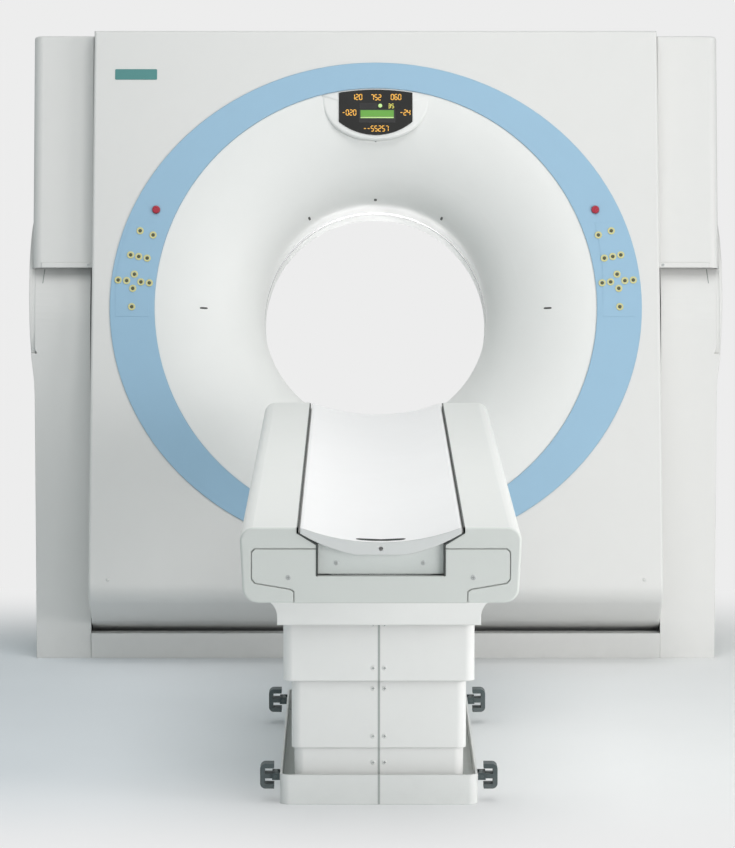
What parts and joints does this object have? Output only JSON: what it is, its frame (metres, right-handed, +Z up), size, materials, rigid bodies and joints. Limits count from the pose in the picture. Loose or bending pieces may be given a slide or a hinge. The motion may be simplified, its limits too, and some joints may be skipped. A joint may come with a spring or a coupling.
{
  "type": "computed tomography scanner",
  "caption": "Tilting ring-shaped CT scanner gantry on a floor base, with a lifting patient table and a sliding cradle in front of its bore.",
  "frame": {"origin": "on the floor under the isocentre, on the tilt axis's plumb line", "axes": "+Z up, +Y from the patient table through the bore to the rear, +X to the right seen from the table"},
  "size_m": [2.152, 4.1982, 1.9379],
  "materials": {
    "cover_white": "satin moulded",
    "funnel_white": "satin moulded",
    "ring_blue": "satin",
    "window_clear": "clear film",
    "key_film": "matt film with yellow rings",
    "stop_red": "gloss",
    "display_black": "gloss",
    "frame_steel": "satin paint",
    "bright_steel": "ground",
    "rotor_metal": "machined",
    "unit_grey": "satin paint",
    "belt_black": "matt",
    "motor_black": "satin paint",
    "column_metal": "anodised",
    "foot_iron": "painted",
    "table_white": "satin moulded",
    "cradle_white": "satin skin",
    "pedal_dark": "matt",
    "duct_metal": "satin paint"
  },
  "bodies": {
    "base": {"base_frame": "frame_steel", "stand_cover_left": "cover_white", "stand_cover_right": "cover_white", "base_front_cover": "cover_white", "pivot_bearing_left": "bright_steel", "pivot_bearing_right": "bright_steel", "tilt_gearbox": "motor_black", "cable_duct": "duct_metal", "table_foot": "foot_iron", "foot_cover_left": "table_white", "foot_cover_right": "table_white", "collar_left": "table_white", "collar_right": "table_white", "column_outer": "column_metal"},
    "lift_stage": {"column_middle": "column_metal", "shroud_middle_left": "table_white", "shroud_middle_right": "table_white"},
    "lift": {"column_inner": "column_metal", "shroud_upper_left": "table_white", "shroud_upper_right": "table_white", "table_belly": "table_white", "table_body": "table_white", "end_panel": "table_white", "cradle_rails": "bright_steel", "feed_motor": "motor_black"},
    "cradle": {"cradle": "cradle_white", "cradle_carriage": "column_metal"},
    "gantry": {"front_cover": "cover_white", "control_ring": "ring_blue", "keypad_left": "key_film", "keypad_right": "key_film", "front_funnel": "funnel_white", "scan_window": "window_clear", "rear_funnel": "funnel_white", "rear_cover": "cover_white", "top_cover": "cover_white", "upper_side_cover_left": "cover_white", "upper_side_cover_right": "cover_white", "belly_band": "cover_white", "display_housing": "funnel_white", "display_screen": "display_black", "tilt_frame": "frame_steel", "main_bearing": "bright_steel", "drive_motor": "motor_black", "drive_belt": "belt_black"},
    "rotor": {"rotor_drum": "rotor_metal", "xray_tube": "unit_grey", "hv_generator": "unit_grey", "detector": "rotor_metal", "cooling_unit": "unit_grey", "collimator": "bright_steel", "slip_ring": "bright_steel"},
    "pulley": {"motor_pulley": "bright_steel"},
    "stop_left": {"stop_button_left": "stop_red"},
    "stop_right": {"stop_button_right": "stop_red"},
    "pedal_near_left": {"pedal_near_left": "pedal_dark"},
    "pedal_near_right": {"pedal_near_right": "pedal_dark"},
    "pedal_far_left": {"pedal_far_left": "pedal_dark"},
    "pedal_far_right": {"pedal_far_right": "pedal_dark"}
  },
  "joints": [
    {"name": "gantry_tilt", "type": "hinge", "parent": "base", "child": "gantry", "pos_m": [0, 0, 1.01], "axis": [1, 0, 0], "range_deg": [-18, 42]},
    {"name": "rotor_spin", "type": "hinge", "parent": "gantry", "child": "rotor", "pos_m": [0, 0, 1.01], "axis": [0, 0.9781, -0.2079], "continuous": true},
    {"name": "pulley_spin", "type": "hinge", "parent": "gantry", "child": "pulley", "pos_m": [0.735, -0.15282, 0.29106], "axis": [0, 0.9781, -0.2079], "continuous": true},
    {"name": "stop_left", "type": "slide", "parent": "gantry", "child": "stop_left", "axis": [0, 0.9781, -0.2079], "range_m": [0, 0.004], "stiffness_N_per_m": 800},
    {"name": "stop_right", "type": "slide", "parent": "gantry", "child": "stop_right", "axis": [0, 0.9781, -0.2079], "range_m": [0, 0.004], "stiffness_N_per_m": 800},
    {"name": "table_lift", "type": "slide", "parent": "base", "child": "lift", "axis": [0, 0, 1], "range_m": [-0.29, 0.1]},
    {"name": "lift_middle", "type": "slide", "parent": "base", "child": "lift_stage", "axis": [0, 0, 1], "range_m": [-0.116, 0.04]},
    {"name": "cradle_feed", "type": "slide", "parent": "lift", "child": "cradle", "axis": [0, 1, 0], "range_m": [0, 1.55]},
    {"name": "pedal_near_left", "type": "hinge", "parent": "base", "child": "pedal_near_left", "pos_m": [-0.268, -2.632, 0.068], "axis": [0, 1, 0], "range_deg": [-6, 6], "stiffness_Nm_per_rad": 6},
    {"name": "pedal_near_right", "type": "hinge", "parent": "base", "child": "pedal_near_right", "pos_m": [0.268, -2.632, 0.068], "axis": [0, 1, 0], "range_deg": [-6, 6], "stiffness_Nm_per_rad": 6},
    {"name": "pedal_far_left", "type": "hinge", "parent": "base", "child": "pedal_far_left", "pos_m": [-0.268, -1.516, 0.068], "axis": [0, 1, 0], "range_deg": [-6, 6], "stiffness_Nm_per_rad": 6},
    {"name": "pedal_far_right", "type": "hinge", "parent": "base", "child": "pedal_far_right", "pos_m": [0.268, -1.516, 0.068], "axis": [0, 1, 0], "range_deg": [-6, 6], "stiffness_Nm_per_rad": 6}
  ],
  "couplings": [
    {"joint": "pulley_spin", "follows": "rotor_spin", "ratio": 17.556},
    {"joint": "lift_middle", "follows": "table_lift", "ratio": 0.4}
  ]
}
